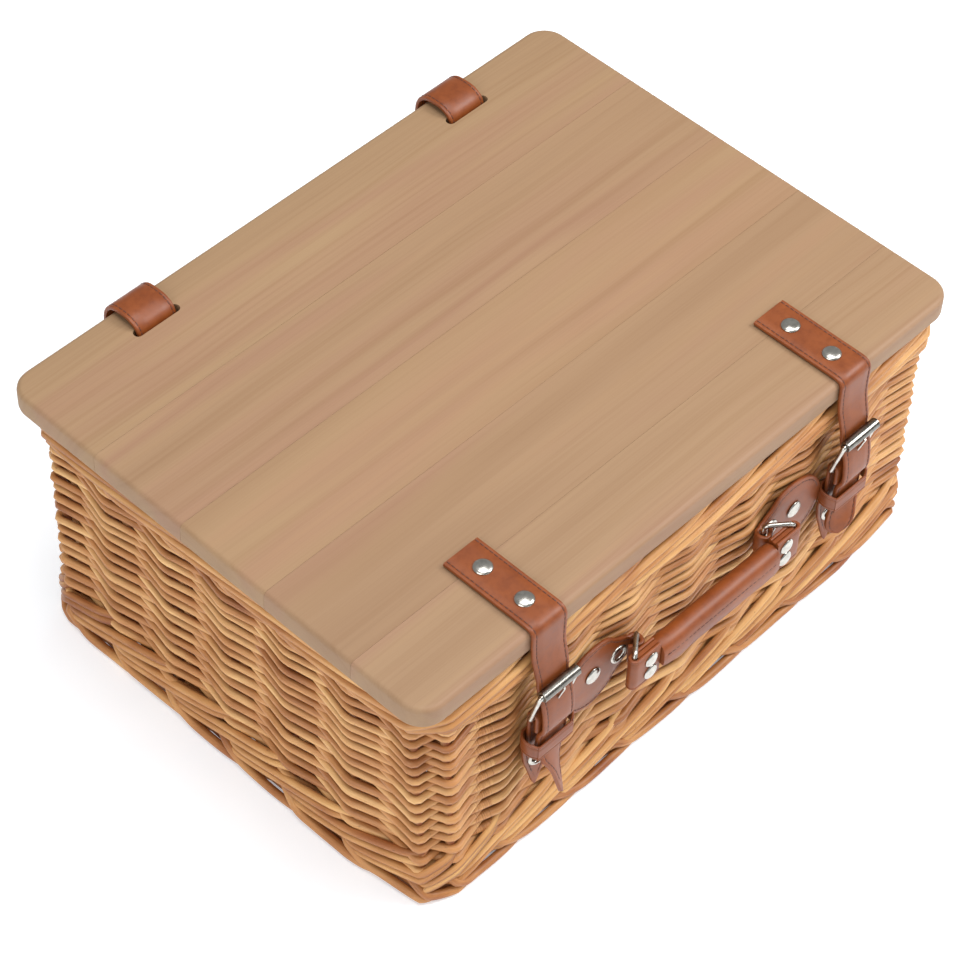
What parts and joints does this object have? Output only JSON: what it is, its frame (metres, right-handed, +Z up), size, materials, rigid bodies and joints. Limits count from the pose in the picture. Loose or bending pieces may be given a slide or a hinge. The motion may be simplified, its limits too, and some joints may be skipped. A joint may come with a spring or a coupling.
{
  "type": "willow picnic hamper",
  "caption": "Woven willow picnic hamper with a glued board lid, leather hinges, buckled leather straps and a rolled leather carrying handle on the front.",
  "frame": {"origin": "centre of the basket's underside, on the surface it stands on", "axes": "+X along the long side, -Y towards the front with the straps and the handle, +Z up"},
  "size_m": [0.41, 0.3298, 0.1917],
  "materials": {
    "willow": "natural peeled willow, satin",
    "lid_wood": "sanded and washed pine or paulownia, matt",
    "tan_leather": "smooth tan leather with stitched edges",
    "nickel": "nickel plated steel, bright"
  },
  "bodies": {
    "basket": {"base_mat": "willow", "foot_border": "willow", "wicker_siding": "willow", "top_border": "willow", "hinge_strap_left": "tan_leather", "hinge_strap_right": "tan_leather", "hinge_rivet_left": "nickel", "hinge_rivet_right": "nickel", "anchor_strap_left": "tan_leather", "anchor_strap_right": "tan_leather", "anchor_eyelet_left": "nickel", "anchor_eyelet_right": "nickel", "keeper_loop_left": "tan_leather", "keeper_loop_right": "tan_leather", "handle_tab_left": "tan_leather", "handle_tab_right": "tan_leather", "tab_rivet_left": "nickel", "tab_rivet_right": "nickel", "tab_eyelet_left": "nickel", "tab_eyelet_right": "nickel"},
    "lid": {"lid_board_1": "lid_wood", "lid_board_2": "lid_wood", "lid_board_3": "lid_wood", "lid_board_4": "lid_wood", "lid_board_5": "lid_wood", "lid_strap_left": "tan_leather", "lid_strap_right": "tan_leather", "lid_stud_left_front": "nickel", "lid_stud_left_rear": "nickel", "lid_stud_right_front": "nickel", "lid_stud_right_rear": "nickel"},
    "strap_left": {"strap_tail_left": "tan_leather"},
    "strap_right": {"strap_tail_right": "tan_leather"},
    "buckle_left": {"buckle_frame_left": "nickel"},
    "buckle_right": {"buckle_frame_right": "nickel"},
    "roller_left": {"buckle_roller_left": "nickel"},
    "roller_right": {"buckle_roller_right": "nickel"},
    "prong_left": {"buckle_prong_left": "nickel"},
    "prong_right": {"buckle_prong_right": "nickel"},
    "handle": {"handle_ring_left": "nickel", "handle_ring_right": "nickel", "handle_end_left": "tan_leather", "handle_end_right": "tan_leather", "handle_rivet_left_upper": "nickel", "handle_rivet_left_lower": "nickel", "handle_rivet_right_upper": "nickel", "handle_rivet_right_lower": "nickel", "handle_grip": "tan_leather", "handle_core": "tan_leather"}
  },
  "joints": [
    {"name": "lid_hinge", "type": "hinge", "parent": "basket", "child": "lid", "pos_m": [0, 0.155, 0.171], "axis": [-1, 0, 0], "range_deg": [0, 100], "deforming": ["hinge_strap_left", "hinge_strap_right"]},
    {"name": "strap_left_fold", "type": "hinge", "parent": "lid", "child": "strap_left", "pos_m": [-0.118, -0.1526, 0.1697], "axis": [-1, 0, 0], "range_deg": [-88, 0], "deforming": ["strap_tail_left"]},
    {"name": "strap_right_fold", "type": "hinge", "parent": "lid", "child": "strap_right", "pos_m": [0.118, -0.1526, 0.1697], "axis": [-1, 0, 0], "range_deg": [-88, 0], "deforming": ["strap_tail_right"]},
    {"name": "handle_tilt", "type": "hinge", "parent": "basket", "child": "handle", "pos_m": [0, -0.155, 0.1075], "axis": [-1, 0, 0], "range_deg": [-18, 18]},
    {"name": "buckle_left_swing", "type": "hinge", "parent": "basket", "child": "buckle_left", "pos_m": [-0.118, -0.156, 0.122], "axis": [1, 0, 0], "range_deg": [0, 60]},
    {"name": "buckle_right_swing", "type": "hinge", "parent": "basket", "child": "buckle_right", "pos_m": [0.118, -0.156, 0.122], "axis": [1, 0, 0], "range_deg": [0, 60]},
    {"name": "prong_left_swing", "type": "hinge", "parent": "buckle_left", "child": "prong_left", "pos_m": [-0.118, -0.156, 0.122], "axis": [1, 0, 0], "range_deg": [0, 40]},
    {"name": "prong_right_swing", "type": "hinge", "parent": "buckle_right", "child": "prong_right", "pos_m": [0.118, -0.156, 0.122], "axis": [1, 0, 0], "range_deg": [0, 40]},
    {"name": "roller_left_spin", "type": "hinge", "parent": "buckle_left", "child": "roller_left", "pos_m": [-0.118, -0.162, 0.1455], "axis": [1, 0, 0], "continuous": true},
    {"name": "roller_right_spin", "type": "hinge", "parent": "buckle_right", "child": "roller_right", "pos_m": [0.118, -0.162, 0.1455], "axis": [1, 0, 0], "continuous": true}
  ],
  "couplings": [
    {"joint": "strap_left_fold", "follows": "lid_hinge", "ratio": -0.85},
    {"joint": "strap_right_fold", "follows": "lid_hinge", "ratio": -0.85}
  ]
}
